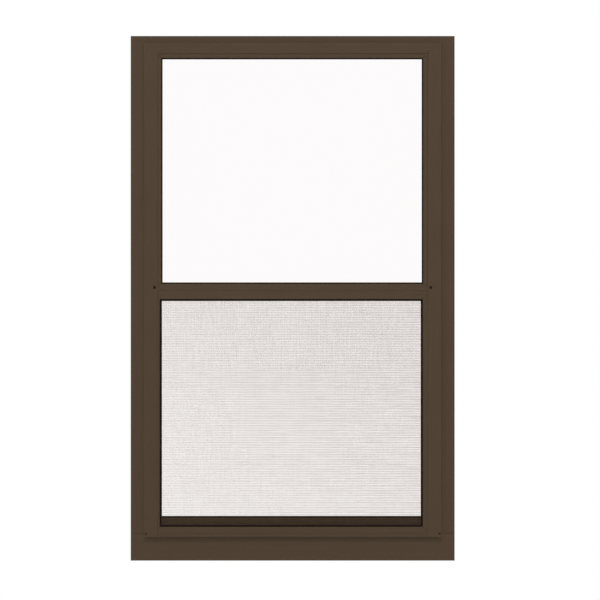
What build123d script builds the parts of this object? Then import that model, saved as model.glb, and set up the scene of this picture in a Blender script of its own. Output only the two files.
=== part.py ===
"""Two-track aluminium storm window with an upper sash, a half screen, a lower sash and a sill expander.

The outside face looks along -Y, +X is to the right and +Z is up. The origin lies on the back of the head
flange, in the middle of that flange, which is where the window is hung on the wall. Lengths are millimetres.
"""

import os
from dataclasses import dataclass

from build123d import *

# Overall size, over the flanges and down to the bottom of the expander
WIDTH = 609.6
HEIGHT = 987.4

# Main frame extrusions
WALL = 1.3
TRACK = 9.5  # clear depth of each of the two tracks
TRACK_REACH = 12.2  # from the edge of a lip in to the bottom of its track
JAMB_FLANGE = 25.2
JAMB_LIP = 25.7
HEAD_FLANGE = 13.1
HEAD_LIP = 20.6
BODY_RADIUS = 1.0  # outer front edge of the raised body
LIP_RADIUS = 0.6  # inner front edge of the lips
LIP_NOTCH_WIDTH = 1.4  # saw cut in the corner between the head's lip and each jamb's
LIP_NOTCH_HEIGHT = 6.8
DRAIN_HOLE = 4.0  # diameter, in the foot of each jamb
DRAIN_INSET = 3.4  # from the side of the raised body
DRAIN_RISE = 6.2  # from the bottom of the raised body

# Sill and expander
SILL_LIP = 5.4
SILL_STEP = 11.0  # rise from the outer floor to the lower sash's floor
SILL_BACK_LEG = 8.0
SILL_SKIRT = 39.0  # leg below the inner floor that the expander slides on
EXPANDER_FACE = 45.0  # part of the expander that shows below the raised body
EXPANDER_EAR = 6.6  # rise of the expander's ends beside the raised body
EXPANDER_BACK_LEG = 38.0
EXPANDER_GAP = 0.8  # joint between the expander's ears and the flanges
SLIDE_GAP = 0.3  # at each side of a part that slides

# Sashes
SASH_DEPTH = 8.6
SASH_WALL = 1.2
SASH_HOLD = 9.7  # part of a sash that lies behind the lips at each side
SASH_STILE = 17.2
LOWER_STILE = 14.6
MEETING_RAIL = 12.8  # bottom rail of the upper sash
LOWER_BOTTOM_RAIL = 23.7
POCKET = 6.0  # depth of the glazing pocket
SASH_FRONT_GAP = 0.3  # between a sash and the leg it leans on
LIFT_ROOM = 10.0  # space above the upper sash that lets it lift out
GLASS = 3.0
GLASS_EDGE_GAP = 1.5  # seal between the glass edge and the pocket floor
SEAL_RIM = 2.7  # seal that shows beyond the metal
SASH_MITRE_GAP = 0.5  # open joint at the corners
UPPER_SHIFT = -1.0  # the upper sash stands loose in its track, to one side
STEP_WIDTH = 9.6  # part of the upper sash's stiles that is set back, to run behind the lips
STEP_DEPTH = 1.6

# Pegs that stop the upper sash from sliding down
STOP_WIDTH = 3.8
STOP_HEIGHT = 4.4
STOP_INSET = 3.8  # from the edge of the lip
STOP_RISE = 3.6  # from the bottom of the sash
STOP_SINK = 1.0  # of the head below the face of the lip
STOP_REACH = 2.0  # into the hollow of the sash
STOP_GAP = 0.3

# Insect screen
SCREEN_HEIGHT = 459.8
SCREEN_DEPTH = 6.6
SCREEN_BAR = 19.6
SCREEN_HOLD = 9.3  # part of the screen that lies behind each lip when it is centred
SCREEN_SHIFT = -2.7  # the screen stands loose in its track, to one side
SCREEN_REST = 2.0  # rib that holds the screen clear of the sill, so that rain drains
SCREEN_WALL = 0.8
SCREEN_BACK_GAP = 2.3  # between the screen and the leg behind it
SCREEN_TOP_GAP = 0.1  # between the screen and the upper sash
SPLINE_WIDTH = 3.2
SPLINE_DEPTH = 3.2
SCREEN_MITRE_GAP = 0.3
GROOVE_LIP = 0.5  # thin wall between the spline groove and the opening
MESH = 0.4

# Fittings of the lower sash
INTERLOCK_FIN = 12.0  # fin above the top rail, behind the upper sash
PILE_HEIGHT = 7.0
PILE_DROP = 2.5  # from the top of the fin to the pile
FIN_END_GAP = 1.0
LIFT_LENGTH = 180.0
LIFT_REACH = 7.0
LIFT_WALL = 1.6
LIFT_DROP = 2.0  # from the top of the rail to the lift
LATCH_LENGTH = 32.0
LATCH_HEIGHT = 9.0
LATCH_THICK = 3.0
LATCH_INSET = 4.0  # from the edge of the lip
LATCH_RADIUS = 1.5
KNOB_LENGTH = 7.0
KNOB_THICK = 2.6

# Levels, from the middle of the head flange
TOP = HEAD_FLANGE / 2
BOTTOM = TOP - HEIGHT
BODY_TOP = TOP - HEAD_FLANGE
HEAD_EDGE = BODY_TOP - HEAD_LIP
BODY_BOTTOM = BOTTOM + EXPANDER_FACE
FLANGE_BOTTOM = BODY_BOTTOM + EXPANDER_EAR
SILL_FLOOR = BODY_BOTTOM + WALL
SASH_FLOOR = SILL_FLOOR + SILL_STEP
SCREEN_BOTTOM = SILL_FLOOR + SCREEN_REST
SCREEN_TOP = SCREEN_BOTTOM + SCREEN_HEIGHT
UPPER_BOTTOM = SCREEN_TOP + SCREEN_TOP_GAP
UPPER_TOP = BODY_TOP - WALL - LIFT_ROOM
STOP_BOTTOM = UPPER_BOTTOM + STOP_RISE

# Widths, from the middle of the window
SIDE = WIDTH / 2
BODY_SIDE = SIDE - JAMB_FLANGE
LIP_EDGE = BODY_SIDE - JAMB_LIP
TRACK_SIDE = LIP_EDGE + TRACK_REACH
SASH_SIDE = LIP_EDGE + SASH_HOLD
SCREEN_SIDE = LIP_EDGE + SCREEN_HOLD

# Depths, from the back of the flange towards the house
FLANGE_FRONT = -WALL
LIP_BACK = FLANGE_FRONT - TRACK
LIP_FRONT = LIP_BACK - WALL
LEG_FRONT = TRACK
LEG_BACK = LEG_FRONT + WALL
UPPER_FRONT = LIP_BACK + SASH_FRONT_GAP
LOWER_FRONT = LEG_FRONT - SASH_FRONT_GAP - SASH_DEPTH
LOWER_BACK = LOWER_FRONT + SASH_DEPTH
SCREEN_BACK = FLANGE_FRONT - SCREEN_BACK_GAP
SCREEN_FRONT = SCREEN_BACK - SCREEN_DEPTH
SCREEN_MIDDLE = (SCREEN_FRONT + SCREEN_BACK) / 2

os.makedirs("parts", exist_ok=True)


def save(piece, label):
    """Label a finished piece and write it."""
    piece.part.label = label
    export_step(piece.part, f"parts/{label}.step")


def save_pair(right, name, middle=0):
    """Write a right-hand piece and its mirror image on the left, named from a pattern."""
    save(right, name.format("right"))
    with BuildPart() as left:
        mirror(right.part, about=Plane.YZ.offset(middle))
    save(left, name.format("left"))


def bar(x0, y0, x1, y1, mode=Mode.ADD):
    """Draw a rectangle between two opposite corners in the current sketch."""
    with Locations((x0, y0)):
        Rectangle(x1 - x0, y1 - y0, align=(Align.MIN, Align.MIN), mode=mode)


def block(low, high, mode=Mode.ADD):
    """Add a box between its lowest and highest corners to the current part."""
    sizes = [top - base for base, top in zip(low, high)]
    with Locations(low):
        Box(*sizes, align=(Align.MIN, Align.MIN, Align.MIN), mode=mode)


def trim_to(*points):
    """Keep only what lies inside an outline seen from the front."""
    with BuildSketch(Plane.XZ) as outline:
        with BuildLine():
            Polyline(*points, close=True)
        make_face()
    extrude(outline.sketch, amount=WIDTH, both=True, mode=Mode.INTERSECT)


def stop_slot(front, back, side=1):
    """Cut the slot for a stop between two depths, on the right or the left."""
    inner = LIP_EDGE + STOP_INSET - STOP_GAP
    outer = LIP_EDGE + STOP_INSET + STOP_WIDTH + STOP_GAP
    block(
        (min(side * inner, side * outer), front, STOP_BOTTOM - STOP_GAP),
        (max(side * inner, side * outer), back, STOP_BOTTOM + STOP_HEIGHT + STOP_GAP),
        mode=Mode.SUBTRACT,
    )


def lip_notch(side=1):
    """Cut the slot in the corner between the head's lip and a jamb's, on the right or the left."""
    block(
        (side * LIP_EDGE - LIP_NOTCH_WIDTH / 2, LIP_FRONT, HEAD_EDGE),
        (side * LIP_EDGE + LIP_NOTCH_WIDTH / 2, LIP_BACK, HEAD_EDGE + LIP_NOTCH_HEIGHT),
        mode=Mode.SUBTRACT,
    )


def rain_bevel(level):
    """Draw the wedge under a slope that rises through the flange's thickness from a level on its front."""
    Polygon((FLANGE_FRONT, level), (0, level), (0, level + WALL), align=None)


# Right jamb, drawn in plan; the flange stops short of the raised body at the foot and is cut there on a slope
with BuildPart() as right_jamb:
    with BuildSketch(Plane.XY.offset(BODY_BOTTOM)) as jamb_section:
        bar(BODY_SIDE - WALL, FLANGE_FRONT, SIDE, 0)
        bar(BODY_SIDE - WALL, LIP_FRONT, BODY_SIDE, LEG_BACK)
        bar(LIP_EDGE, LIP_FRONT, BODY_SIDE, LIP_BACK)
        bar(LIP_EDGE, LEG_FRONT, BODY_SIDE, LEG_BACK)
        bar(TRACK_SIDE, LIP_FRONT, TRACK_SIDE + WALL, LEG_BACK)
        bar(LIP_EDGE, FLANGE_FRONT, TRACK_SIDE + WALL, 0)
        fillet(jamb_section.vertices().group_by(Axis.Y)[0].sort_by(Axis.X)[-1], BODY_RADIUS)
        fillet(jamb_section.vertices().group_by(Axis.Y)[0].sort_by(Axis.X)[0], LIP_RADIUS)
    extrude(amount=TOP - BODY_BOTTOM)
    trim_to(
        (SIDE, TOP),
        (BODY_SIDE, BODY_TOP),
        (LIP_EDGE, HEAD_EDGE),
        (LIP_EDGE, BODY_BOTTOM),
        (BODY_SIDE, BODY_BOTTOM),
        (BODY_SIDE, FLANGE_BOTTOM),
        (SIDE, FLANGE_BOTTOM),
    )
    with BuildSketch(Plane.YZ.offset(BODY_SIDE)) as flange_foot:
        rain_bevel(FLANGE_BOTTOM)
    extrude(flange_foot.sketch, amount=JAMB_FLANGE, mode=Mode.SUBTRACT)
    lip_notch()
    stop_slot(LIP_FRONT, LIP_BACK)
    with BuildSketch(Plane.XZ.offset(-LIP_BACK)) as drain_hole:
        with Locations((BODY_SIDE - DRAIN_INSET, BODY_BOTTOM + DRAIN_RISE)):
            Circle(DRAIN_HOLE / 2)
    extrude(drain_hole.sketch, amount=WALL, mode=Mode.SUBTRACT)
save_pair(right_jamb, "{}_jamb")

# Head, drawn from the side and mitred into the jambs
with BuildPart() as head_frame:
    with BuildSketch(Plane.YZ) as head_section:
        bar(FLANGE_FRONT, BODY_TOP - WALL, 0, TOP)
        bar(LIP_FRONT, BODY_TOP - WALL, LEG_BACK, BODY_TOP)
        bar(LIP_FRONT, HEAD_EDGE, LIP_BACK, BODY_TOP)
        bar(FLANGE_FRONT, HEAD_EDGE, 0, BODY_TOP)
        bar(LEG_FRONT, HEAD_EDGE, LEG_BACK, BODY_TOP)
        fillet(head_section.vertices().group_by(Axis.X)[0].sort_by(Axis.Y)[-1], BODY_RADIUS)
        fillet(head_section.vertices().group_by(Axis.X)[0].sort_by(Axis.Y)[0], LIP_RADIUS)
    extrude(amount=SIDE, both=True)
    trim_to(
        (-SIDE, TOP),
        (SIDE, TOP),
        (BODY_SIDE, BODY_TOP),
        (LIP_EDGE, HEAD_EDGE),
        (-LIP_EDGE, HEAD_EDGE),
        (-BODY_SIDE, BODY_TOP),
    )
    for side in (-1, 1):
        lip_notch(side)
save(head_frame, "head_frame")

# Sill with a stepped floor; its ends are coped to run into both tracks of the jambs
with BuildPart() as sill_frame:
    with BuildSketch(Plane.YZ) as sill_section:
        bar(LIP_FRONT, BODY_BOTTOM, LIP_BACK, BODY_BOTTOM + SILL_LIP)
        bar(LIP_FRONT, BODY_BOTTOM, 0, SILL_FLOOR)
        bar(SCREEN_MIDDLE, SILL_FLOOR, SCREEN_MIDDLE + WALL, SCREEN_BOTTOM)
        bar(FLANGE_FRONT, BODY_BOTTOM, 0, SASH_FLOOR)
        bar(FLANGE_FRONT, SASH_FLOOR - WALL, LEG_BACK, SASH_FLOOR)
        bar(LEG_FRONT, SASH_FLOOR - WALL, LEG_BACK, SASH_FLOOR + SILL_BACK_LEG)
        bar(0, SASH_FLOOR - SILL_SKIRT, WALL, SASH_FLOOR)
        fillet(sill_section.vertices().group_by(Axis.X)[0], LIP_RADIUS)
    extrude(amount=TRACK_SIDE, both=True)
    for front, back in ((LIP_FRONT, LIP_BACK), (FLANGE_FRONT, 0), (LEG_FRONT, LEG_BACK)):
        for start in (LIP_EDGE, -TRACK_SIDE):
            block(
                (start, front, BOTTOM),
                (start + TRACK_REACH, back, UPPER_BOTTOM),
                mode=Mode.SUBTRACT,
            )
save(sill_frame, "sill_frame")

# Expander: a narrow channel over the sill's skirt, with ears that rise to the foot of the flanges and are cut
# on the same slope, so that no rain blows through the joint
EXPANDER_TOP = FLANGE_BOTTOM - EXPANDER_GAP
EXPANDER_BACK = WALL + SLIDE_GAP + WALL
EAR_TOP = EXPANDER_TOP + WALL
EAR_INNER = BODY_SIDE + SLIDE_GAP
with BuildPart() as sill_expander:
    with BuildSketch(Plane.YZ):
        bar(FLANGE_FRONT, BOTTOM, 0, EXPANDER_TOP)
        rain_bevel(EXPANDER_TOP)
        bar(FLANGE_FRONT, BOTTOM, EXPANDER_BACK, BOTTOM + WALL)
        bar(EXPANDER_BACK - WALL, BOTTOM, EXPANDER_BACK, BOTTOM + EXPANDER_BACK_LEG)
    extrude(amount=SIDE, both=True)
    trim_to(
        (-SIDE, BOTTOM),
        (SIDE, BOTTOM),
        (SIDE, EAR_TOP),
        (EAR_INNER, EAR_TOP),
        (EAR_INNER, BODY_BOTTOM - SLIDE_GAP),
        (-EAR_INNER, BODY_BOTTOM - SLIDE_GAP),
        (-EAR_INNER, EAR_TOP),
        (-SIDE, EAR_TOP),
    )
save(sill_expander, "sill_expander")


def sash_section(width):
    """Draw a sash bar: a hollow at the outer edge and an open pocket for the glass at the inner one."""
    web = width - POCKET
    bar(0, 0, width, SASH_DEPTH)
    bar(SASH_WALL, SASH_WALL, web - SASH_WALL, SASH_DEPTH - SASH_WALL, mode=Mode.SUBTRACT)
    bar(web, SASH_WALL, width, SASH_DEPTH - SASH_WALL, mode=Mode.SUBTRACT)


def stepped_section(width):
    """Draw a sash bar whose outer part is set back."""
    sash_section(width)
    bar(0, 0, width - POCKET, STEP_DEPTH + SASH_WALL)
    bar(0, 0, STEP_WIDTH, STEP_DEPTH, mode=Mode.SUBTRACT)


def screen_section(width):
    """Draw a screen bar: a hollow at the outer edge and a spline groove, open to the front, at the inner."""
    groove = width - GROOVE_LIP - SPLINE_WIDTH
    floor = SPLINE_DEPTH + MESH
    bar(0, 0, width, SCREEN_DEPTH)
    bar(SCREEN_WALL, SCREEN_WALL, groove - SCREEN_WALL, SCREEN_DEPTH - SCREEN_WALL, mode=Mode.SUBTRACT)
    bar(groove, 0, groove + SPLINE_WIDTH, floor, mode=Mode.SUBTRACT)
    bar(groove + SPLINE_WIDTH, 0, width, MESH, mode=Mode.SUBTRACT)


@dataclass
class Panel:
    """Place and bar widths of a framed panel, which is a sash or the screen."""

    middle: float
    side: float  # half the outer width
    front: float
    top: float
    bottom: float
    top_rail: float
    bottom_rail: float
    stile: float
    mitre_gap: float


def frame_bars(panel, section, stile_section):
    """Make the top rail, bottom rail and right stile of a panel, mitred from corner to corner."""
    left = panel.middle - panel.side
    right = panel.middle + panel.side
    outer_top_left = (left, panel.top)
    outer_top_right = (right, panel.top)
    outer_bottom_left = (left, panel.bottom)
    outer_bottom_right = (right, panel.bottom)
    inner_top_left = (left + panel.stile, panel.top - panel.top_rail)
    inner_top_right = (right - panel.stile, panel.top - panel.top_rail)
    inner_bottom_left = (left + panel.stile, panel.bottom + panel.bottom_rail)
    inner_bottom_right = (right - panel.stile, panel.bottom + panel.bottom_rail)
    rail_ends = (panel.mitre_gap, -panel.mitre_gap, -panel.mitre_gap, panel.mitre_gap)
    half_height = (panel.top - panel.bottom) / 2
    # Each section is drawn from the outer edge of its bar towards the opening, and from front to back
    with BuildPart() as top_rail:
        with BuildSketch(Plane((panel.middle, panel.front, panel.top), x_dir=(0, 0, -1), z_dir=(1, 0, 0))):
            section(panel.top_rail)
        extrude(amount=panel.side, both=True)
        corners = (outer_top_left, outer_top_right, inner_top_right, inner_top_left)
        trim_to(*((x + gap, z) for (x, z), gap in zip(corners, rail_ends)))
    with BuildPart() as bottom_rail:
        with BuildSketch(Plane((panel.middle, panel.front, panel.bottom), x_dir=(0, 0, 1), z_dir=(-1, 0, 0))):
            section(panel.bottom_rail)
        extrude(amount=panel.side, both=True)
        corners = (outer_bottom_left, outer_bottom_right, inner_bottom_right, inner_bottom_left)
        trim_to(*((x + gap, z) for (x, z), gap in zip(corners, rail_ends)))
    with BuildPart() as right_stile:
        middle_height = panel.bottom + half_height
        with BuildSketch(Plane((right, panel.front, middle_height), x_dir=(-1, 0, 0), z_dir=(0, 0, -1))):
            stile_section(panel.stile)
        extrude(amount=half_height, both=True)
        trim_to(outer_top_right, outer_bottom_right, inner_bottom_right, inner_top_right)
    return top_rail, bottom_rail, right_stile


def glazing(panel):
    """Make the pane of a sash and the seal wrapped round its edge."""
    pocket_front = panel.front + SASH_WALL
    pocket_back = panel.front + SASH_DEPTH - SASH_WALL
    pocket_side = panel.side - panel.stile + POCKET
    pocket_top = panel.top - panel.top_rail + POCKET
    pocket_bottom = panel.bottom + panel.bottom_rail - POCKET
    pane_side = pocket_side - GLASS_EDGE_GAP
    pane_front = (pocket_front + pocket_back - GLASS) / 2
    with BuildPart() as pane:
        block(
            (panel.middle - pane_side, pane_front, pocket_bottom + GLASS_EDGE_GAP),
            (panel.middle + pane_side, pane_front + GLASS, pocket_top - GLASS_EDGE_GAP),
        )
    seal_reach = POCKET + SEAL_RIM
    sight_side = pocket_side - seal_reach
    with BuildPart() as seal:
        block(
            (panel.middle - pocket_side, pocket_front, pocket_bottom),
            (panel.middle + pocket_side, pocket_back, pocket_top),
        )
        block(
            (panel.middle - sight_side, pocket_front, pocket_bottom + seal_reach),
            (panel.middle + sight_side, pocket_back, pocket_top - seal_reach),
            mode=Mode.SUBTRACT,
        )
        add(pane.part, mode=Mode.SUBTRACT)
    return pane, seal


# Upper sash
upper_sash = Panel(
    middle=UPPER_SHIFT,
    side=SASH_SIDE,
    front=UPPER_FRONT,
    top=UPPER_TOP,
    bottom=UPPER_BOTTOM,
    top_rail=SASH_STILE,
    bottom_rail=MEETING_RAIL,
    stile=SASH_STILE,
    mitre_gap=SASH_MITRE_GAP,
)
upper_top_rail, upper_bottom_rail, upper_right_stile = frame_bars(upper_sash, sash_section, stepped_section)
with BuildPart() as upper_left_stile:
    mirror(upper_right_stile.part, about=Plane.YZ.offset(UPPER_SHIFT))
STOP_BACK = UPPER_FRONT + SASH_WALL + STOP_REACH
for side, stile in ((-1, upper_left_stile), (1, upper_right_stile)):
    for piece in (stile, upper_bottom_rail):
        with piece:
            stop_slot(UPPER_FRONT, STOP_BACK, side)
save(upper_top_rail, "upper_sash_top_rail")
save(upper_bottom_rail, "upper_sash_bottom_rail")
save(upper_left_stile, "upper_sash_left_stile")
save(upper_right_stile, "upper_sash_right_stile")
upper_glass, upper_seal = glazing(upper_sash)
save(upper_glass, "upper_glass")
save(upper_seal, "upper_glazing_seal")

# Peg through the lip into the foot of the upper sash
with BuildPart() as right_stop:
    STOP_SIDE = LIP_EDGE + STOP_INSET
    block(
        (STOP_SIDE, LIP_FRONT + STOP_SINK, STOP_BOTTOM),
        (STOP_SIDE + STOP_WIDTH, STOP_BACK, STOP_BOTTOM + STOP_HEIGHT),
    )
save_pair(right_stop, "upper_sash_{}_stop")

# Insect screen
screen = Panel(
    middle=SCREEN_SHIFT,
    side=SCREEN_SIDE,
    front=SCREEN_FRONT,
    top=SCREEN_TOP,
    bottom=SCREEN_BOTTOM,
    top_rail=SCREEN_BAR,
    bottom_rail=SCREEN_BAR,
    stile=SCREEN_BAR,
    mitre_gap=SCREEN_MITRE_GAP,
)
screen_top_rail, screen_bottom_rail, screen_right_stile = frame_bars(screen, screen_section, screen_section)
save(screen_top_rail, "screen_top_rail")
save(screen_bottom_rail, "screen_bottom_rail")
save_pair(screen_right_stile, "screen_{}_stile", SCREEN_SHIFT)

# Mesh stretched over the thin inner walls of the bars, and the spline that holds it in the groove
MESH_SIDE = SCREEN_SIDE - SCREEN_BAR + GROOVE_LIP
MESH_TOP = SCREEN_TOP - SCREEN_BAR + GROOVE_LIP
MESH_BOTTOM = SCREEN_BOTTOM + SCREEN_BAR - GROOVE_LIP
GROOVE_FLOOR = SCREEN_FRONT + SPLINE_DEPTH + MESH
with BuildPart() as screen_mesh:
    block(
        (SCREEN_SHIFT - MESH_SIDE, SCREEN_FRONT, MESH_BOTTOM),
        (SCREEN_SHIFT + MESH_SIDE, SCREEN_FRONT + MESH, MESH_TOP),
    )
save(screen_mesh, "screen_mesh")

with BuildPart() as screen_spline:
    block(
        (SCREEN_SHIFT - MESH_SIDE - SPLINE_WIDTH, SCREEN_FRONT, MESH_BOTTOM - SPLINE_WIDTH),
        (SCREEN_SHIFT + MESH_SIDE + SPLINE_WIDTH, GROOVE_FLOOR, MESH_TOP + SPLINE_WIDTH),
    )
    block(
        (SCREEN_SHIFT - MESH_SIDE, SCREEN_FRONT, MESH_BOTTOM),
        (SCREEN_SHIFT + MESH_SIDE, GROOVE_FLOOR, MESH_TOP),
        mode=Mode.SUBTRACT,
    )
save(screen_spline, "screen_spline")

# Lower sash, whose upper sight edge lines up with the screen's
LOWER_TOP = SCREEN_TOP - SCREEN_BAR + SEAL_RIM + SASH_STILE
lower_sash = Panel(
    middle=0,
    side=SASH_SIDE,
    front=LOWER_FRONT,
    top=LOWER_TOP,
    bottom=SASH_FLOOR,
    top_rail=SASH_STILE,
    bottom_rail=LOWER_BOTTOM_RAIL,
    stile=LOWER_STILE,
    mitre_gap=SASH_MITRE_GAP,
)
lower_top_rail, lower_bottom_rail, lower_right_stile = frame_bars(lower_sash, sash_section, sash_section)
FIN_SIDE = LIP_EDGE - FIN_END_GAP
FIN_TOP = LOWER_TOP + INTERLOCK_FIN
with lower_top_rail:
    block(
        (-FIN_SIDE, LOWER_FRONT, LOWER_TOP),
        (FIN_SIDE, LOWER_FRONT + SASH_WALL, FIN_TOP),
    )
LIFT_TOP = SASH_FLOOR + LOWER_BOTTOM_RAIL - LIFT_DROP
with lower_bottom_rail:
    block(
        (-LIFT_LENGTH / 2, LOWER_BACK, LIFT_TOP - LIFT_WALL),
        (LIFT_LENGTH / 2, LOWER_BACK + LIFT_REACH, LIFT_TOP),
    )
save(lower_top_rail, "lower_sash_top_rail")
save(lower_bottom_rail, "lower_sash_bottom_rail")
save_pair(lower_right_stile, "lower_sash_{}_stile")
lower_glass, lower_seal = glazing(lower_sash)
save(lower_glass, "lower_glass")
save(lower_seal, "lower_glazing_seal")

# Pile on the fin, which brushes the back of the upper sash
PILE_TOP = FIN_TOP - PILE_DROP
with BuildPart() as meeting_rail_pile:
    block(
        (-FIN_SIDE, UPPER_FRONT + SASH_DEPTH, PILE_TOP - PILE_HEIGHT),
        (FIN_SIDE, LOWER_FRONT, PILE_TOP),
    )
save(meeting_rail_pile, "meeting_rail_pile")

# Spring latch on the inside of the lower sash, above the sill's back leg
LATCH_SIDE = LIP_EDGE - LATCH_INSET
LATCH_MIDDLE = LATCH_SIDE - LATCH_LENGTH / 2
LATCH_BOTTOM = SASH_FLOOR + SILL_BACK_LEG + LATCH_RADIUS
with BuildPart() as right_latch:
    block(
        (LATCH_SIDE - LATCH_LENGTH, LOWER_BACK, LATCH_BOTTOM),
        (LATCH_SIDE, LOWER_BACK + LATCH_THICK, LATCH_BOTTOM + LATCH_HEIGHT),
    )
    fillet(right_latch.edges().filter_by(Axis.Y), LATCH_RADIUS)
    block(
        (LATCH_MIDDLE - KNOB_LENGTH / 2, LOWER_BACK + LATCH_THICK, LATCH_BOTTOM + LATCH_RADIUS),
        (
            LATCH_MIDDLE + KNOB_LENGTH / 2,
            LOWER_BACK + LATCH_THICK + KNOB_THICK,
            LATCH_BOTTOM + LATCH_HEIGHT - LATCH_RADIUS,
        ),
    )
save_pair(right_latch, "lower_sash_{}_latch")
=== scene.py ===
"""Brown enamelled aluminium storm window in a plain white studio.

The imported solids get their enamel, glass and plastics, and the pieces that are too fine for solids are worked
out here: the woven screen, its spline, the glazing seals, the pile, the latch ribs and the corner screws.
The outside of the window looks along -Y, +Z is up, and lengths are metres.
"""

import math

import bpy
import numpy as np
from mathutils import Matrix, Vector


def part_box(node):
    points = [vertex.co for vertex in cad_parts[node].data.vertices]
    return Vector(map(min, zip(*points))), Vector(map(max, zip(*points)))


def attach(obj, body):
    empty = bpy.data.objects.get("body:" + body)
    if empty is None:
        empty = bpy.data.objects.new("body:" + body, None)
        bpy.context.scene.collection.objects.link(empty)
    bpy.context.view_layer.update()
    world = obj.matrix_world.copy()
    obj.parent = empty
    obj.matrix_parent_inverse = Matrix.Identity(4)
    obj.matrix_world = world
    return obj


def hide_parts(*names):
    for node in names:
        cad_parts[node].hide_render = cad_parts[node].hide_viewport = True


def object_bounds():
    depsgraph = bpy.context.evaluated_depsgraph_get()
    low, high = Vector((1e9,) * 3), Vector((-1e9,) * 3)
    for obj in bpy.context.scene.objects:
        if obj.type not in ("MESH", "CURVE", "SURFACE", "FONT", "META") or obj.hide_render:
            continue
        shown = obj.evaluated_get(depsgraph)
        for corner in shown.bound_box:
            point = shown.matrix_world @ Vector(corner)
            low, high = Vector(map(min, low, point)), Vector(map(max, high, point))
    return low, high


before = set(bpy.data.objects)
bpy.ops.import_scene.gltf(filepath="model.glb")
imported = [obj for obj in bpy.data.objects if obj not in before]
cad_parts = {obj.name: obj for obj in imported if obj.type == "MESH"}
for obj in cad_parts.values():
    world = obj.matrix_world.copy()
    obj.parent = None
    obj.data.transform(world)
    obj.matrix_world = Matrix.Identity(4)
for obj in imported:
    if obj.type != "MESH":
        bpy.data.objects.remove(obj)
CAD_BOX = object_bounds()

bl_info = {
    "name": "Enamelled Storm Window",
    "version": (1, 0, 0),
    "blender": (4, 5, 0),
    "location": "View3D > Sidebar > Storm Window",
    "description": "Dresses a two-track aluminium storm window and sets it in a white studio",
    "category": "Object",
}

MM = 0.001
BODY = "root"

RAILS = {
    "frame_enamel": ("head_frame", "sill_frame", "sill_expander"),
    "sash_enamel": (
        "upper_sash_top_rail",
        "upper_sash_bottom_rail",
        "lower_sash_top_rail",
        "lower_sash_bottom_rail",
    ),
    "screen_enamel": ("screen_top_rail", "screen_bottom_rail"),
}
STILES = {
    "frame_enamel": ("left_jamb", "right_jamb"),
    "sash_enamel": (
        "upper_sash_left_stile",
        "upper_sash_right_stile",
        "lower_sash_left_stile",
        "lower_sash_right_stile",
    ),
    "screen_enamel": ("screen_left_stile", "screen_right_stile"),
}
SASHES = ("upper", "lower")
HANDS = {"left": -1, "right": 1}

# Weave of the screen
HEAVY_YARN = 2.85  # yarns from one heavy yarn to the next
YARN_TAPER = 0.26  # share by which the yarns thin or thicken from one end to the other
SWELL_RUN = 5  # sections along a yarn over which its swell and its wander change
HEAVY_RUN = 9  # sections along a yarn over which the weight of the heavy yarns changes
HEAVY_SPREAD = 0.2  # of that weight along a yarn
THINNEST = 0.25  # share of a yarn's usual thickness
THICKEST = 2.4


def linear(code):
    """Turn an sRGB hex colour into linear red, green and blue."""
    channels = np.array([int(code[start : start + 2], 16) for start in (1, 3, 5)]) / 255
    curved = ((channels + 0.055) / 1.055) ** 2.4
    return tuple(np.where(channels <= 0.04045, channels / 12.92, curved).tolist())


def shade(colour, factor):
    """Scale a linear colour and give it full opacity."""
    return (*(channel * factor for channel in colour), 1.0)


def per_metre(size_mm):
    """Scale of a pattern whose features are this many millimetres across."""
    return 1 / (size_mm * MM)


def colour_property(name, description, code):
    """Describe a colour setting whose default is an sRGB hex value."""
    return bpy.props.FloatVectorProperty(
        name=name, description=description, subtype="COLOR", size=3, min=0, max=1, default=linear(code)
    )


def length_property(name, description, millimetres):
    """Describe a length setting whose default is in millimetres."""
    return bpy.props.FloatProperty(
        name=name, description=description, unit="LENGTH", precision=5, default=millimetres * MM
    )


def share_property(name, description, value):
    """Describe a setting that runs from none to all."""
    return bpy.props.FloatProperty(
        name=name, description=description, subtype="FACTOR", min=0, max=1, default=value
    )


def power_property(name, description, watts):
    """Describe the power setting of a lamp."""
    return bpy.props.FloatProperty(name=name, description=description, subtype="POWER", default=watts)


class FinishSettings(bpy.types.PropertyGroup):
    """Colours and gloss of the window's materials."""

    enamel: colour_property("Enamel", "Brown of the baked coat", "#514334")
    enamel_roughness: share_property("Enamel roughness", "Satin of the baked coat", 0.45)
    glass: colour_property("Glass", "Tint of the float glass", "#fffdfd")
    vinyl: colour_property("Glazing vinyl", "Brown black of the extruded seal", "#1c1209")
    rubber: colour_property("Spline", "Brown black of the spline cord", "#160e08")
    yarn: colour_property("Screen yarn", "Charcoal of the coated yarn", "#24211d")
    yarn_rose: colour_property("Rose yarn", "Light through the redder yarns", "#edcfba")
    yarn_olive: colour_property("Olive yarn", "Light through the greener yarns", "#e6d9b6")
    pile: colour_property("Pile", "Grey of the weatherstrip", "#5b5a57")
    plastic: colour_property("Latch plastic", "Near black of the moulded latches", "#17120e")


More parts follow.
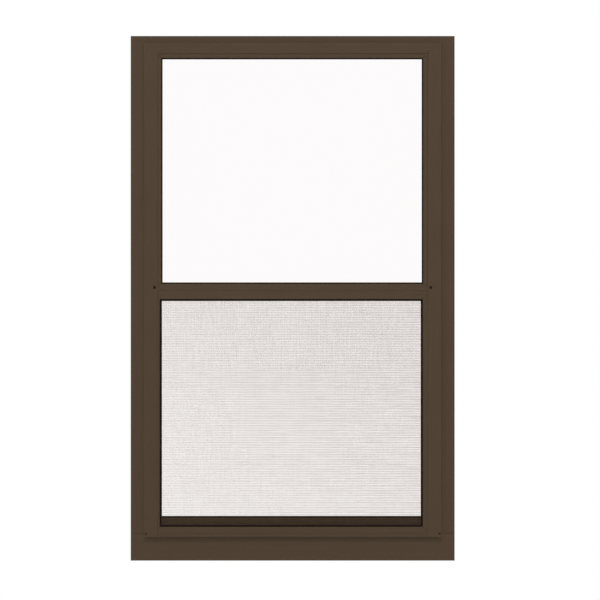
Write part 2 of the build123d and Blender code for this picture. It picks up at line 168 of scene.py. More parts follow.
class ScreenSettings(bpy.types.PropertyGroup):
    """Weave of the insect screen."""

    weft_pitch: length_property("Weft pitch", "Distance between the level yarns", 25.4 / 16)
    warp_pitch: length_property("Warp pitch", "Distance between the upright yarns", 25.4 / 18)
    weft_thickness: length_property("Weft thickness", "Diameter of the level yarns", 0.258)
    warp_thickness: length_property("Warp thickness", "Diameter of the upright yarns", 0.195)
    wander: length_property("Wander", "How far a yarn strays from its line", 0.03)
    weft_heavy: share_property("Heavy weft", "How much heavier the heavy level yarns are", 0.55)
    warp_heavy: share_property("Heavy warp", "How much heavier the heavy upright yarns are", 0.1)
    weft_uneven: share_property("Uneven weft", "Spread of thickness along the level yarns", 0.1)
    warp_uneven: share_property("Uneven warp", "Spread of thickness along the upright yarns", 0.15)
    weft_stations: bpy.props.IntProperty(
        name="Weft stations", description="Sections along a level yarn", min=8, max=90, default=80
    )
    warp_stations: bpy.props.IntProperty(
        name="Warp stations", description="Sections along an upright yarn", min=8, max=70, default=70
    )
    seed: bpy.props.IntProperty(name="Seed", description="Start of the random draws", default=11)


class FittingSettings(bpy.types.PropertyGroup):
    """Sizes of the small fittings."""

    flange_width: length_property("Flange width", "From the jamb's edge to the side of its body", 25.2)
    screw_width: length_property("Screw head", "Diameter of the pan head", 7.0)
    screw_rise: length_property("Screw rise", "Height of the pan head", 2.2)
    recess_depth: length_property("Recess", "Depth of the cross recess", 1.1)
    recess_width: length_property("Recess slot", "Width of the cross recess", 1.3)
    seal_rim: length_property("Seal rim", "Seal that shows beyond the sash bars", 2.7)
    rib_width: length_property("Latch rib", "Diameter of the thumb ribs", 0.9)
    rib_pitch: length_property("Rib pitch", "Distance between the thumb ribs", 1.9)


class StageSettings(bpy.types.PropertyGroup):
    """Camera, light and floor."""

    distance: length_property("Distance", "From the camera to the flanges", 7500)
    view_width: length_property("View width", "Width of the picture at the flanges", 1129.5)
    shift_right: bpy.props.FloatProperty(
        name="Shift right", description="Part of the picture width", default=0.0122
    )
    shift_up: bpy.props.FloatProperty(
        name="Shift up", description="Part of the picture width", default=-0.0028
    )
    floor_drop: length_property("Floor drop", "From the window down to the floor", 130)
    floor: colour_property("Floor", "Pale grey of the floor", "#b6b6b4")
    ambient: bpy.props.FloatProperty(name="Ambient", description="Light from all round", default=0.1)
    reflected: bpy.props.FloatProperty(name="Reflected", description="Room that gloss shows", default=0.5)
    key_power: power_property("Key power", "Soft lamp above the camera", 119)
    fill_power: power_property("Fill power", "Lamp beside the camera", 189)
    side_power: power_property("Side power", "Weak lamp over the left shoulder", 21)
    left_power: power_property("Left power", "Lamp on the left end of the room", 90)
    right_power: power_property("Right power", "Lamp on the right end of the room", 90)
    back_power: power_property("Back power", "Broad lamp on the house side", 110)


class StormWindowSettings(bpy.types.PropertyGroup):
    """All that a user would change on the window and its stage."""

    finish: bpy.props.PointerProperty(type=FinishSettings)
    screen: bpy.props.PointerProperty(type=ScreenSettings)
    fittings: bpy.props.PointerProperty(type=FittingSettings)
    stage: bpy.props.PointerProperty(type=StageSettings)


def add_surface(name, points, around=True, closed=False, crease=35.0):
    """Make one mesh object from a grid of points of shape (copies, stations, profile points, 3).

    Neighbouring points along the stations and round the profile are joined by quads. The profile closes on
    itself if around is set. The stations close into a ring if closed is set, and otherwise each end of a
    closed profile gets a flat cap.
    """
    copies, stations, profile = points.shape[:3]
    index = np.arange(copies * stations * profile).reshape(copies, stations, profile)
    ahead = np.roll(index, -1, axis=1)
    spans = slice(None) if closed else slice(0, -1)
    turns = slice(None) if around else slice(0, -1)
    beside = np.roll(index, -1, axis=2)
    diagonal = np.roll(ahead, -1, axis=2)
    quads = np.stack([index, beside, diagonal, ahead], axis=-1)[:, spans, turns].reshape(-1, 4)
    loops = [quads.ravel()]
    totals = [np.full(len(quads), 4)]
    if around and not closed:
        caps = np.concatenate([index[:, 0, ::-1], index[:, -1]])
        loops.append(caps.ravel())
        totals.append(np.full(len(caps), profile))
    corners = np.concatenate(loops).astype(np.int32)
    counts = np.concatenate(totals).astype(np.int32)
    mesh = bpy.data.meshes.new(name)
    mesh.vertices.add(index.size)
    mesh.vertices.foreach_set("co", points.astype(np.float32).ravel())
    mesh.loops.add(len(corners))
    mesh.loops.foreach_set("vertex_index", corners)
    mesh.polygons.add(len(counts))
    mesh.polygons.foreach_set("loop_start", (np.cumsum(counts) - counts).astype(np.int32))
    mesh.update(calc_edges=True)
    mesh.validate()
    mesh.shade_smooth()
    mesh.set_sharp_from_angle(angle=math.radians(crease))
    piece = bpy.data.objects.new(name, mesh)
    bpy.context.scene.collection.objects.link(piece)
    return piece


def fit_piece(piece, material, slot, *replaced):
    """Give a new piece its material and its place on the window, and hide the nodes that it stands for. The
    slot argument is not used.
    """
    piece.data.materials.append(material)
    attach(piece, BODY)
    if replaced:
        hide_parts(*replaced)


def coat(names, material):
    """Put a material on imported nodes."""
    for name in names:
        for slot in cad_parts[name].material_slots:
            slot.material = material


def add_node(tree, kind, settings=None, links=None):
    """Add a shader node with its settings, by property, input name or input number, and its links."""
    made = tree.nodes.new(kind)
    for key, value in (settings or {}).items():
        if isinstance(key, str) and hasattr(made, key):
            setattr(made, key, value)
        else:
            made.inputs[key].default_value = value
    for key, source in (links or {}).items():
        tree.links.new(source, made.inputs[key])
    return made


def new_material(name):
    """Start a material with an empty node tree and an output."""
    material = bpy.data.materials.new(name)
    material.use_nodes = True
    tree = material.node_tree
    tree.nodes.clear()
    return material, tree


ENAMEL_TONE = 0.12  # share by which the brown is lighter or darker along the streaks
ENAMEL_GLOSS = 0.06  # by which the roughness changes
DIE_STRETCH = 0.03  # of the streaks' pattern along the bar
CLOUD_SHARE = 0.35  # of the soft clouds in the brown, the rest being streaks


def baked_enamel(name, along, finish):
    """Enamel sprayed on extruded aluminium and baked."""
    # The coat levels into one even satin brown with a faint orange peel. The die's lines show through it as
    # slight streaks along the bar, and it pulls into a soft round on every edge.
    material, tree = new_material(name)
    place = add_node(tree, "ShaderNodeTexCoord").outputs["Object"]
    # Die lines are about 1 mm apart and metres long; drawn 4 mm wide, because finer ones would not show
    stretch = {"X": (DIE_STRETCH, 1, 1), "Z": (1, 1, DIE_STRETCH)}[along]
    drawn = add_node(tree, "ShaderNodeMapping", {"Scale": stretch}, {"Vector": place})
    streaks = add_node(
        tree,
        "ShaderNodeTexNoise",
        {"Scale": per_metre(4), "Detail": 3, "Roughness": 0.6},
        {"Vector": drawn.outputs["Vector"]},
    )
    clouds = add_node(
        tree, "ShaderNodeTexNoise", {"Scale": per_metre(70), "Detail": 2}, {"Vector": place}
    )
    blend = add_node(
        tree,
        "ShaderNodeMix",
        {"data_type": "FLOAT", 0: CLOUD_SHARE},
        {2: streaks.outputs["Fac"], 3: clouds.outputs["Fac"]},
    )
    tone = add_node(
        tree,
        "ShaderNodeMix",
        {
            "data_type": "RGBA",
            6: shade(finish.enamel, 1 - ENAMEL_TONE),
            7: shade(finish.enamel, 1 + ENAMEL_TONE),
        },
        {0: blend.outputs[0]},
    )
    gloss = add_node(
        tree,
        "ShaderNodeMapRange",
        {
            "To Min": finish.enamel_roughness - ENAMEL_GLOSS,
            "To Max": finish.enamel_roughness + ENAMEL_GLOSS,
        },
        {"Value": clouds.outputs["Fac"]},
    )
    # Orange peel of sprayed enamel runs at about 1.5 mm
    peel = add_node(
        tree, "ShaderNodeTexNoise", {"Scale": per_metre(1.5), "Detail": 1}, {"Vector": place}
    )
    edge = add_node(tree, "ShaderNodeBevel", {"samples": 6, "Radius": 0.35 * MM})
    relief = add_node(
        tree,
        "ShaderNodeBump",
        {"Strength": 0.12, "Distance": 0.02 * MM},
        {"Height": peel.outputs["Fac"], "Normal": edge.outputs["Normal"]},
    )
    surface = add_node(
        tree,
        "ShaderNodeBsdfPrincipled",
        {"Specular IOR Level": 0.12},
        {
            "Base Color": tone.outputs[2],
            "Roughness": gloss.outputs["Result"],
            "Normal": relief.outputs["Normal"],
        },
    )
    add_node(tree, "ShaderNodeOutputMaterial", None, {"Surface": surface.outputs["BSDF"]})
    return material


def float_glass(name, finish):
    """Clear glass floated flat and cut."""
    # Nearly colourless, with a mirror polish that wiping marks dull a little in soft patches
    material, tree = new_material(name)
    place = add_node(tree, "ShaderNodeTexCoord").outputs["Object"]
    # Wiping marks are a hand wide and run across the pane
    wiped = add_node(tree, "ShaderNodeMapping", {"Scale": (0.4, 1, 1)}, {"Vector": place})
    marks = add_node(
        tree, "ShaderNodeTexNoise", {"Scale": per_metre(90), "Detail": 4}, {"Vector": wiped.outputs["Vector"]}
    )
    polish = add_node(
        tree, "ShaderNodeMapRange", {"To Min": 0.0, "To Max": 0.02}, {"Value": marks.outputs["Fac"]}
    )
    surface = add_node(
        tree,
        "ShaderNodeBsdfPrincipled",
        {"Base Color": shade(finish.glass, 1), "IOR": 1.52, "Transmission Weight": 1.0},
        {"Roughness": polish.outputs["Result"]},
    )
    add_node(tree, "ShaderNodeOutputMaterial", None, {"Surface": surface.outputs["BSDF"]})
    return material


SKIN_GLOSS = 0.1  # by which a skin's roughness changes


def flexible_skin(name, colour, roughness, grain_mm, depth_mm, contrast):
    """Extruded vinyl, rubber or moulded plastic with a fine matt grain."""
    # A dark even skin whose grain breaks up the gloss, with paler bloom in patches
    material, tree = new_material(name)
    place = add_node(tree, "ShaderNodeTexCoord").outputs["Object"]
    grain = add_node(
        tree, "ShaderNodeTexNoise", {"Scale": per_metre(grain_mm), "Detail": 3}, {"Vector": place}
    )
    bloom = add_node(tree, "ShaderNodeTexNoise", {"Scale": per_metre(25), "Detail": 3}, {"Vector": place})
    tone = add_node(
        tree,
        "ShaderNodeMix",
        {"data_type": "RGBA", 6: shade(colour, 1 - contrast), 7: shade(colour, 1 + contrast)},
        {0: bloom.outputs["Fac"]},
    )
    gloss = add_node(
        tree,
        "ShaderNodeMapRange",
        {"To Min": roughness - SKIN_GLOSS, "To Max": roughness + SKIN_GLOSS},
        {"Value": grain.outputs["Fac"]},
    )
    relief = add_node(
        tree,
        "ShaderNodeBump",
        {"Strength": 0.4, "Distance": depth_mm * MM},
        {"Height": grain.outputs["Fac"]},
    )
    surface = add_node(
        tree,
        "ShaderNodeBsdfPrincipled",
        {"Specular IOR Level": 0.1},
        {
            "Base Color": tone.outputs[2],
            "Roughness": gloss.outputs["Result"],
            "Normal": relief.outputs["Normal"],
        },
    )
    add_node(tree, "ShaderNodeOutputMaterial", None, {"Surface": surface.outputs["BSDF"]})
    return material


def smooth_draws(rng, shape, width):
    """Random waves of unit spread along the last axis, each the mean of neighbouring draws."""
    kernel = np.hanning(width + 2)[1:-1]
    kernel /= np.sqrt((kernel**2).sum())
    raw = rng.normal(size=(shape[0], shape[1] + width - 1))
    windows = np.lib.stride_tricks.sliding_window_view(raw, width, axis=1)
    return windows @ kernel


def even_lines(low, high, pitch):
    """Places of yarns at an even pitch, centred between two edges."""
    count = int((high - low) / pitch)
    return (low + high) / 2 + pitch * (np.arange(count) - (count - 1) / 2)


def yarns(rng, edges, ends, wander, pitch, thickness, heavy, uneven, stations):
    """Paths and radii of parallel yarns that lie side by side between two edges.

    A path is a straight line plus a smooth wander. The radius is even but for a wave across the yarns, whose
    strength drifts along each yarn, and a smooth random swell.
    """
    # Single yarns are finer than the picture shows, so about every third is heavier, which shows the weave
    lines = even_lines(*edges, pitch)
    shape = (len(lines), stations)
    along = np.broadcast_to(np.linspace(*ends, stations), shape)
    across = lines[:, None] + wander * smooth_draws(rng, shape, SWELL_RUN)
    wave = np.cos(np.arange(len(lines))[:, None] * 2 * math.pi / HEAVY_YARN)
    strength = 1 + HEAVY_SPREAD * smooth_draws(rng, shape, HEAVY_RUN)
    swell = 1 + heavy * wave * strength + uneven * smooth_draws(rng, shape, SWELL_RUN)
    # The yarns thin towards the left and the bottom of the cloth, so the screen is lighter towards its lower
    # left corner and darker towards its upper right
    stretch = 1 + YARN_TAPER * np.linspace(-1, 1, stations)
    radius = thickness / 2 * np.clip(swell, THINNEST, THICKEST) * stretch
    return along, across, radius


class STORM_OT_enamel_bars(bpy.types.Operator):
    """Coat the frame, sash and screen bars in brown enamel"""

    bl_idname = "storm_window.enamel_bars"
    bl_label = "Enamel the bars"

    def execute(self, context):
        finish = context.scene.storm_window.finish
        for slot, names in RAILS.items():
            coat(names, baked_enamel(f"baked_{slot}_on_rails", "X", finish))
        for slot, names in STILES.items():
            coat(names, baked_enamel(f"baked_{slot}_on_stiles", "Z", finish))
        return {"FINISHED"}


class STORM_OT_glaze_sashes(bpy.types.Operator):
    """Set the panes and wrap their edges in vinyl seals"""

    bl_idname = "storm_window.glaze_sashes"
    bl_label = "Glaze the sashes"

    CORNER = 0.3 * MM  # round on the outer corner of each lip of the seal
    NOSE = np.linspace(0, math.pi / 2, 4)

    def execute(self, context):
        finish = context.scene.storm_window.finish
        glass = float_glass("clear_float_glass", finish)
        vinyl = flexible_skin(
            "extruded_black_vinyl", finish.vinyl, roughness=0.5, grain_mm=0.8, depth_mm=0.02, contrast=0.2
        )
        for sash in SASHES:
            coat([f"{sash}_glass"], glass)
            points = self.channel(sash, context.scene.storm_window.fittings.seal_rim)
            seal = add_surface(f"{sash}_glazing_channel", points[None], closed=True)
            fit_piece(seal, vinyl, "glazing_vinyl", f"{sash}_glazing_seal")
        return {"FINISHED"}

    def channel(self, sash, rim):
        """U section carried round the pane, mitred at the corners, with the outer corner of each lip rounded.

        A section point is a distance in from the seal's outer edge and a depth. At a corner the distance
        counts along both edges, which is what makes the mitre.
        """
        low, high = (np.array(corner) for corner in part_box(f"{sash}_glazing_seal"))
        pane_low, pane_high = (np.array(corner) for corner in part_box(f"{sash}_glass"))
        bar_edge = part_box(f"{sash}_sash_left_stile")[1].x
        reach = bar_edge - low[0] + rim
        edge = pane_low[0] - low[0]
        front, back = low[1], high[1]
        glass_front, glass_back = pane_low[1], pane_high[1]
        turn = self.CORNER * np.sin(self.NOSE)
        drop = self.CORNER * (1 - np.cos(self.NOSE))
        front_lip = np.column_stack([reach - self.CORNER + turn, front + drop])
        back_lip = np.column_stack([reach - self.CORNER + turn, back - drop])[::-1]
        section = np.concatenate(
            [
                [[0, front]],
                front_lip,
                [[reach, glass_front], [edge, glass_front], [edge, glass_back], [reach, glass_back]],
                back_lip,
                [[0, back]],
            ]
        )
        # Corners in order up the right side and down the left, seen from the front
        corners = np.array([[1, -1], [1, 1], [-1, 1], [-1, -1]])
        outer = np.where(corners > 0, high[[0, 2]], low[[0, 2]])
        flat = outer[:, None] - corners[:, None] * section[None, :, :1]
        depth = np.broadcast_to(section[None, :, 1], flat.shape[:2])
        return np.stack([flat[..., 0], depth, flat[..., 1]], axis=-1)


class STORM_OT_weave_screen(bpy.types.Operator):
    """Weave the insect screen from level and upright yarns"""

    bl_idname = "storm_window.weave_screen"
    bl_label = "Weave the screen"

    # Four sides are enough for a yarn a fifth of a millimetre thick
    SIDES = np.arange(4) * math.pi / 2
    SEE_THROUGH = 0.6  # share of the light that passes one side of a yarn
    TRAITS = ("pitch", "thickness", "heavy", "uneven", "stations")

    def execute(self, context):
        settings = context.scene.storm_window.screen
        low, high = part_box("screen_mesh")
        rng = np.random.default_rng(settings.seed)
        middle = (low.y + high.y) / 2
        yarn = self.coated_yarn(context.scene.storm_window.finish)
        # The fused crossings let the upright yarns lie half sunk behind the level ones
        sunk = (settings.weft_thickness + settings.warp_thickness) / 6
        sides, levels = (low.x, high.x), (low.z, high.z)
        for kind, edges, ends, depth in (
            ("weft", levels, sides, middle - sunk),
            ("warp", sides, levels, middle + sunk),
        ):
            traits = {trait: getattr(settings, f"{kind}_{trait}") for trait in self.TRAITS}
            paths = yarns(rng, edges, ends, settings.wander, **traits)
            piece = add_surface(f"screen_{kind}_yarns", self.tubes(kind, depth, *paths), crease=180)
            fit_piece(piece, yarn, "screen_cloth", "screen_mesh")
        return {"FINISHED"}

    def tubes(self, kind, depth, along, across, radius):
        """Round section of the given radius carried along each path, square to the way that the paths run."""
        level = np.full_like(along, depth)
        if kind == "weft":
            centre = np.stack([along, level, across], axis=-1)
            first, second = (0, 1, 0), (0, 0, 1)
        else:
            centre = np.stack([across, level, along], axis=-1)
            first, second = (1, 0, 0), (0, 1, 0)
        ring = np.outer(np.cos(self.SIDES), first) + np.outer(np.sin(self.SIDES), second)
        return centre[:, :, None] + radius[:, :, None, None] * ring

    def coated_yarn(self, finish):
        """Glass fibre yarn coated in charcoal vinyl, woven and fused."""
        # Dull dark yarn, thin enough that some light comes straight through it in brown. Its coat is thicker
        # in places, so single yarns look broken from a distance.
        material, tree = new_material("vinyl_coated_glass_yarn")
        place = add_node(tree, "ShaderNodeTexCoord").outputs["Object"]
        # The coat changes over about 8 mm of yarn
        coat_depth = add_node(
            tree, "ShaderNodeTexNoise", {"Scale": per_metre(8), "Detail": 3}, {"Vector": place}
        )
        tone = add_node(
            tree,
            "ShaderNodeMix",
            {"data_type": "RGBA", 6: shade(finish.yarn, 0.6), 7: shade(finish.yarn, 1.4)},
            {0: coat_depth.outputs["Fac"]},
        )
        coat = add_node(
            tree,
            "ShaderNodeBsdfPrincipled",
            {"Roughness": 0.7, "Specular IOR Level": 0.2},
            {"Base Color": tone.outputs[2]},
        )
        # Dye lots change over about 45 mm
        dye = add_node(tree, "ShaderNodeTexNoise", {"Scale": per_metre(45), "Detail": 2}, {"Vector": place})
        tint = add_node(
            tree,
            "ShaderNodeMix",
            {"data_type": "RGBA", 6: shade(finish.yarn_rose, 1), 7: shade(finish.yarn_olive, 1)},
            {0: dye.outputs["Fac"]},
        )
        through = add_node(tree, "ShaderNodeBsdfTransparent", None, {"Color": tint.outputs[2]})
        # What comes through is scattered, so it lights nothing behind the screen
        path = add_node(tree, "ShaderNodeLightPath")
        share = add_node(
            tree,
            "ShaderNodeMapRange",
            {"To Min": self.SEE_THROUGH, "To Max": 0.0},
            {"Value": path.outputs["Is Shadow Ray"]},
        )
        surface = add_node(
            tree,
            "ShaderNodeMixShader",
            None,
            {0: share.outputs["Result"], 1: coat.outputs["BSDF"], 2: through.outputs["BSDF"]},
        )
        add_node(tree, "ShaderNodeOutputMaterial", None, {"Surface": surface.outputs["Shader"]})
        return material


class STORM_OT_press_spline(bpy.types.Operator):
    """Press the spline cord into the groove of the screen bars"""

    bl_idname = "storm_window.press_spline"
    bl_label = "Press the spline"

    ROUND = np.linspace(0, 2 * math.pi, 12, endpoint=False)
    SPANS = 60  # along each side
    SINK = 0.7 * MM  # of the cord below the faces of the bars
    WAVE = 0.1 * MM  # left in the cord by the roller
    WAVES = (23, 41)  # round the whole cord

    def execute(self, context):
        finish = context.scene.storm_window.finish
        rubber = flexible_skin(
            "extruded_spline_rubber", finish.rubber, roughness=0.6, grain_mm=0.6, depth_mm=0.02, contrast=0.25
        )
        spline = add_surface("screen_spline_cord", self.cord()[None], closed=True, crease=50)
        fit_piece(spline, rubber, "spline_rubber", "screen_spline")
        return {"FINISHED"}

    def cord(self):
        """Round section carried round the groove, mitred at the corners, with its depth in slow waves."""
        low, high = (np.array(corner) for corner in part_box("screen_spline"))
        mesh_low = np.array(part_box("screen_mesh")[0])
        radius = (mesh_low[0] - low[0]) / 2
        corners = np.array([[1, -1], [1, 1], [-1, 1], [-1, -1]])
        line = np.where(corners > 0, high[[0, 2]] - radius, low[[0, 2]] + radius)
        share = np.arange(self.SPANS)[:, None] / self.SPANS
        following = np.roll(line, -1, axis=0)
        path = np.concatenate([start + share * (end - start) for start, end in zip(line, following)])
        # Outwards is square to a side, and along both sides at a corner
        outward = np.repeat([[1.0, 0], [0, 1.0], [-1.0, 0], [0, -1.0]], self.SPANS, axis=0)
        outward[:: self.SPANS] = corners
        travel = np.arange(len(path)) * 2 * math.pi / len(path)
        wave = self.WAVE * sum(np.sin(count * travel) for count in self.WAVES) / len(self.WAVES)
        depth = low[1] + self.SINK + self.WAVE + radius + wave
        flat = path[:, None] + radius * np.cos(self.ROUND)[:, None] * outward[:, None]
        into = depth[:, None] + radius * np.sin(self.ROUND)
        return np.stack([flat[..., 0], into, flat[..., 1]], axis=-1)


class STORM_OT_brush_pile(bpy.types.Operator):
    """Set the pile weatherstrip on the fin of the lower sash"""

    bl_idname = "storm_window.brush_pile"
    bl_label = "Brush the pile"

    STATIONS = 900
    TUFT = np.linspace(0, math.pi, 11)
    SHORTEST = 0.72  # share of the pile's height
    SEED = 5

    def execute(self, context):
        finish = context.scene.storm_window.finish
        fibre = flexible_skin(
            "woven_polypropylene_pile", finish.pile, roughness=0.8, grain_mm=0.5, depth_mm=0.2, contrast=0.4
        )
        pile = add_surface("meeting_rail_pile_strip", self.strip()[None], crease=60)
        fit_piece(pile, fibre, "pile", "meeting_rail_pile")
        return {"FINISHED"}

    def strip(self):
        """Half round section carried along the fin, its height shortened by a random share at every point."""
        low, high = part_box("meeting_rail_pile")
        rng = np.random.default_rng(self.SEED)
        x = np.linspace(low.x, high.x, self.STATIONS)[:, None]
        rise = (high.y - low.y) * np.sin(self.TUFT) ** 0.5
        cut = rng.uniform(self.SHORTEST, 1.0, (self.STATIONS, len(self.TUFT)))
        y = high.y - rise * cut
        z = (low.z + high.z) / 2 + (high.z - low.z) / 2 * np.cos(self.TUFT)
        return np.stack(np.broadcast_arrays(x, y, z), axis=-1)


class STORM_OT_fit_latches(bpy.types.Operator):
    """Finish the pegs and spring latches and rib the latches' thumb pieces"""

    bl_idname = "storm_window.fit_latches"
    bl_label = "Fit the latches"

    RIBS = np.arange(-1, 2)
    REACH = 0.3  # of a rib to each side of its middle, as a share of the latch's height
    ROUND = np.linspace(0, 2 * math.pi, 10, endpoint=False)
    TAPER = np.array([0.4, 0.8, 1.0, 1.0, 0.8, 0.4])
    LENGTH = np.array([-1, -0.93, -0.8, 0.8, 0.93, 1])

    def execute(self, context):
        settings = context.scene.storm_window
        plastic = flexible_skin(
            "moulded_latch_nylon",
            settings.finish.plastic,
            roughness=0.45,
            grain_mm=0.4,
            depth_mm=0.015,
            contrast=0.15,
        )
        coat([f"lower_sash_{hand}_latch" for hand in HANDS], plastic)
        coat([f"upper_sash_{hand}_stop" for hand in HANDS], plastic)
        for hand in HANDS:
            ribs = add_surface(f"{hand}_latch_ribs", self.ribs(hand, settings.fittings), crease=60)
            fit_piece(ribs, plastic, "latch_plastic")
        return {"FINISHED"}

    def ribs(self, hand, fittings):
        """Round bars with tapered ends, side by side, half sunk in the back of a latch's knob."""
        low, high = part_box(f"lower_sash_{hand}_latch")
        middle = (low + high) / 2
        radius = fittings.rib_width / 2
        half = (high.z - low.z) * self.REACH
        x = middle.x + fittings.rib_pitch * self.RIBS
        section = radius * self.TAPER[:, None]
        across = x[:, None, None] + section * np.cos(self.ROUND)
        depth = high.y + section * np.sin(self.ROUND)
        height = middle.z + half * self.LENGTH[:, None]
        return np.stack(np.broadcast_arrays(across, depth, height), axis=-1)


class STORM_OT_drive_screws(bpy.types.Operator):
    """Drive the pan head screws that hold the frame's corners"""

    bl_idname = "storm_window.drive_screws"
    bl_label = "Drive the screws"

    TURN = np.linspace(0, 2 * math.pi, 48, endpoint=False)
    # Share of the head's radius, from a small disc at its centre to its rim
    RADII = np.concatenate([np.linspace(0.03, 0.94, 16), [0.98, 1.0, 1.0]])
    FROM_TOP = 22 * MM  # from the top edge of the window to the upper screws
    FROM_FOOT = 6.5 * MM  # from the foot of the jamb to the lower screws
    SLOPE = 0.25 * MM  # half the width of the recess's sloping walls
    RECESS_REACH = 0.55  # length of the recess's arms, as a share of the head's radius
    FALL = 0.3  # of the dome at its rim, as a share of its rise

    def execute(self, context):
        settings = context.scene.storm_window
        enamel = baked_enamel("baked_enamel_on_screws", "Z", settings.finish)
        for hand, side in HANDS.items():
            heads = add_surface(f"{hand}_corner_screws", self.heads(hand, side, settings.fittings), crease=40)
            fit_piece(heads, enamel, "frame_enamel")
        return {"FINISHED"}

    def heads(self, hand, side, fittings):
        """Domed disc with a cross sunk in it: its height is a dome, less a smooth cross of slots."""
        radius = fittings.screw_width / 2
        reach = self.RADII[:, None] * radius
        first = reach * np.cos(self.TURN)
        second = reach * np.sin(self.TURN)
        dome = fittings.screw_rise * (1 - self.FALL * self.RADII[:, None] ** 2) + 0 * first
        slot = fittings.recess_width / 2
        off_arm = np.minimum(np.abs(first), np.abs(second))
        inside = np.clip((slot + self.SLOPE - off_arm) / (2 * self.SLOPE), 0, 1)
        inside *= np.clip((self.RECESS_REACH * radius - reach) / (2 * self.SLOPE), 0, 1)
        rise = dome - fittings.recess_depth * inside
        rise[-1] = 0
        low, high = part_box(f"{hand}_jamb")
        wall_x = side * (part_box("head_frame")[1].x - fittings.flange_width)
        depth = high.y / 2
        levels = np.array([high.z - self.FROM_TOP, low.z + self.FROM_FOOT])
        x = np.broadcast_to(wall_x + side * rise, (2, *rise.shape))
        y = np.broadcast_to(depth + first, x.shape)
        z = levels[:, None, None] + second * -side
        return np.stack([x, y, z], axis=-1)[:, ::-1]


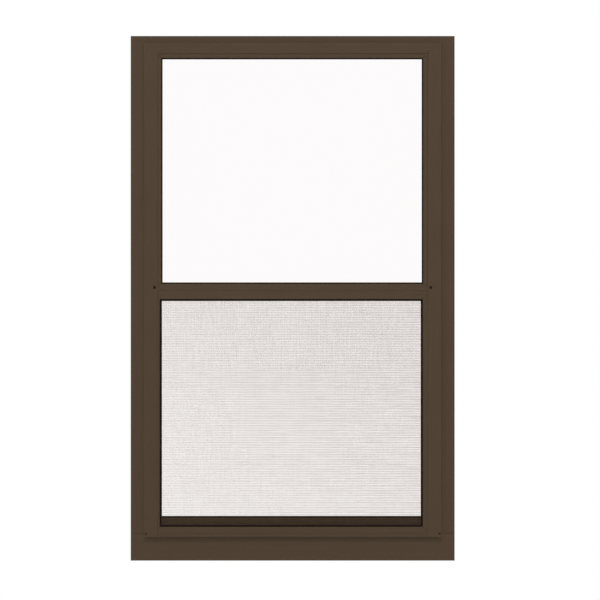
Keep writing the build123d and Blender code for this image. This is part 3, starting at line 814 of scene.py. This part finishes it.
class STORM_OT_set_stage(bpy.types.Operator):
    """Set the floor, the soft light and the camera"""

    bl_idname = "storm_window.set_stage"
    bl_label = "Set the stage"

    FLOOR_SIDE = 40.0
    SHADE_NEAR = 0.2  # floor that keeps its own shade, round the foot of the window
    SHADE_FAR = 0.62  # floor that is plain white from here on
    GLOW = 0.45  # share of plain white in the shaded floor
    BACKDROP = (0.8, 0.94)  # how squarely back gloss looks where the white backdrop starts and is full
    # Place of each lamp from the middle of the window, its width and height, and whether gloss shows it
    LAMPS = {
        "key": (Vector((0, -4.6, 3.6)), (0.8, 2.4), True),
        "fill": (Vector((0, -7.5, 0.2)), (0.6, 0.6), False),
        "side": (Vector((-4.2, -4.6, 0.6)), (1.6, 1.6), False),
        "left": (Vector((-4.8, 0.2, 0.8)), (2.0, 2.0), False),
        "right": (Vector((4.8, 0.2, 0.8)), (2.0, 2.0), False),
        "back": (Vector((0.8, 3.4, 1.4)), (2.4, 2.4), False),
    }

    def execute(self, context):
        stage = context.scene.storm_window.stage
        low, high = CAD_BOX
        middle = (low + high) / 2
        self.lay_floor(stage, low.z - stage.floor_drop)
        self.light(context.scene, stage, middle)
        self.aim(context.scene, stage, middle)
        context.scene.view_settings.view_transform = "Standard"
        return {"FINISHED"}

    def lay_floor(self, stage, level):
        """Flat square sheet under the window: a two by two grid."""
        reach = np.array([-1, 1]) * self.FLOOR_SIDE / 2
        x, y = np.meshgrid(reach, -reach, indexing="ij")
        points = np.stack([x, y, np.full_like(x, level)], axis=-1)
        floor = add_surface("studio_floor", points[None], around=False)
        floor.data.materials.append(self.paper(stage))

    def paper(self, stage):
        """Matt white paper sweep."""
        # Pale and dull where the window's shadow falls, running out to the plain white of the studio
        material, tree = new_material("matt_white_paper")
        place = add_node(tree, "ShaderNodeTexCoord").outputs["Object"]
        fibre = add_node(tree, "ShaderNodeTexNoise", {"Scale": per_metre(6), "Detail": 3}, {"Vector": place})
        tone = add_node(
            tree,
            "ShaderNodeMix",
            {"data_type": "RGBA", 6: shade(stage.floor, 0.98), 7: shade(stage.floor, 1.02)},
            {0: fibre.outputs["Fac"]},
        )
        matt = add_node(tree, "ShaderNodeBsdfDiffuse", None, {"Color": tone.outputs[2]})
        white = add_node(tree, "ShaderNodeEmission")
        level = add_node(tree, "ShaderNodeVectorMath", {"operation": "MULTIPLY", 1: (1, 1, 0)}, {0: place})
        reach = add_node(
            tree, "ShaderNodeVectorMath", {"operation": "LENGTH"}, {0: level.outputs["Vector"]}
        )
        far = add_node(
            tree,
            "ShaderNodeMapRange",
            {
                "interpolation_type": "SMOOTHSTEP",
                "From Min": self.SHADE_NEAR,
                "From Max": self.SHADE_FAR,
                "To Min": self.GLOW,
            },
            {"Value": reach.outputs["Value"]},
        )
        path = add_node(tree, "ShaderNodeLightPath")
        seen = add_node(
            tree,
            "ShaderNodeMath",
            {"operation": "MAXIMUM"},
            {0: self.direct_rays(tree, path), 1: path.outputs["Is Glossy Ray"]},
        )
        mask = add_node(
            tree,
            "ShaderNodeMath",
            {"operation": "MULTIPLY"},
            {0: far.outputs["Result"], 1: seen.outputs["Value"]},
        )
        mix = add_node(
            tree,
            "ShaderNodeMixShader",
            None,
            {0: mask.outputs["Value"], 1: matt.outputs["BSDF"], 2: white.outputs["Emission"]},
        )
        add_node(tree, "ShaderNodeOutputMaterial", None, {"Surface": mix.outputs["Shader"]})
        return material

    def direct_rays(self, tree, path):
        """One for rays that show a surface to the camera straight or through glass."""
        direct = add_node(
            tree,
            "ShaderNodeMath",
            {"operation": "MAXIMUM"},
            {0: path.outputs["Is Camera Ray"], 1: path.outputs["Is Transmission Ray"]},
        )
        return direct.outputs["Value"]

    def light(self, scene, stage, middle):
        """White room whose backdrop shows white to the camera, and its soft lamps."""
        world = bpy.data.worlds.new("white_studio")
        world.use_nodes = True
        tree = world.node_tree
        tree.nodes.clear()
        path = add_node(tree, "ShaderNodeLightPath")
        toward = add_node(tree, "ShaderNodeTexCoord").outputs["Generated"]
        parts = add_node(tree, "ShaderNodeSeparateXYZ", None, {"Vector": toward})
        # Gloss shows the white backdrop behind the window and the dimmer room everywhere else
        backdrop = add_node(
            tree,
            "ShaderNodeMapRange",
            {
                "interpolation_type": "SMOOTHSTEP",
                "From Min": self.BACKDROP[0],
                "From Max": self.BACKDROP[1],
                "To Min": stage.reflected,
                "To Max": 1.0,
            },
            {"Value": parts.outputs["Y"]},
        )
        room = add_node(tree, "ShaderNodeBackground", {"Strength": stage.ambient})
        gloss = add_node(tree, "ShaderNodeBackground", None, {"Strength": backdrop.outputs["Result"]})
        white = add_node(tree, "ShaderNodeBackground", {"Strength": 1.0})
        for background in (room, gloss, white):
            background.inputs["Color"].default_value = (1, 1, 1, 1)
        shown = add_node(
            tree,
            "ShaderNodeMixShader",
            None,
            {
                0: path.outputs["Is Glossy Ray"],
                1: room.outputs["Background"],
                2: gloss.outputs["Background"],
            },
        )
        last = add_node(
            tree,
            "ShaderNodeMixShader",
            None,
            {
                0: self.direct_rays(tree, path),
                1: shown.outputs["Shader"],
                2: white.outputs["Background"],
            },
        )
        add_node(tree, "ShaderNodeOutputWorld", None, {"Surface": last.outputs["Shader"]})
        scene.world = world
        for name, (offset, (width, height), in_gloss) in self.LAMPS.items():
            light = bpy.data.lights.new(f"{name}_softbox", "AREA")
            light.energy = getattr(stage, f"{name}_power")
            light.shape = "RECTANGLE"
            light.size = width
            light.size_y = height
            lamp = bpy.data.objects.new(f"{name}_softbox", light)
            lamp.location = middle + offset
            lamp.rotation_euler = (-offset).to_track_quat("-Z", "Y").to_euler()
            lamp.visible_camera = False
            lamp.visible_transmission = False
            lamp.visible_glossy = in_gloss
            scene.collection.objects.link(lamp)

    def aim(self, scene, stage, middle):
        """Camera square on to the window, at the height of its middle."""
        camera = bpy.data.cameras.new("front_camera")
        camera.lens = camera.sensor_width * stage.distance / stage.view_width
        camera.shift_x = stage.shift_right
        camera.shift_y = stage.shift_up
        holder = bpy.data.objects.new("front_camera", camera)
        holder.location = (middle.x, -stage.distance, middle.z)
        holder.rotation_euler = (math.radians(90), 0, 0)
        scene.collection.objects.link(holder)
        scene.camera = holder


STEPS = (
    STORM_OT_enamel_bars,
    STORM_OT_glaze_sashes,
    STORM_OT_weave_screen,
    STORM_OT_press_spline,
    STORM_OT_brush_pile,
    STORM_OT_fit_latches,
    STORM_OT_drive_screws,
    STORM_OT_set_stage,
)


class STORM_PT_window(bpy.types.Panel):
    """Settings and steps of the storm window"""

    bl_label = "Storm Window"
    bl_idname = "STORM_PT_window"
    bl_space_type = "VIEW_3D"
    bl_region_type = "UI"
    bl_category = "Storm Window"

    def draw(self, context):
        settings = context.scene.storm_window
        for group in (settings.finish, settings.screen, settings.fittings, settings.stage):
            box = self.layout.box()
            for name in group.__annotations__:
                box.prop(group, name)
        for step in STEPS:
            self.layout.operator(step.bl_idname)


CLASSES = (
    FinishSettings,
    ScreenSettings,
    FittingSettings,
    StageSettings,
    StormWindowSettings,
    *STEPS,
    STORM_PT_window,
)


def register():
    for cls in CLASSES:
        bpy.utils.register_class(cls)
    bpy.types.Scene.storm_window = bpy.props.PointerProperty(type=StormWindowSettings)


def unregister():
    del bpy.types.Scene.storm_window
    for cls in reversed(CLASSES):
        bpy.utils.unregister_class(cls)


def main():
    register()
    bpy.ops.storm_window.enamel_bars()
    bpy.ops.storm_window.glaze_sashes()
    bpy.ops.storm_window.weave_screen()
    bpy.ops.storm_window.press_spline()
    bpy.ops.storm_window.brush_pile()
    bpy.ops.storm_window.fit_latches()
    bpy.ops.storm_window.drive_screws()
    bpy.ops.storm_window.set_stage()


if __name__ == "__main__":
    main()
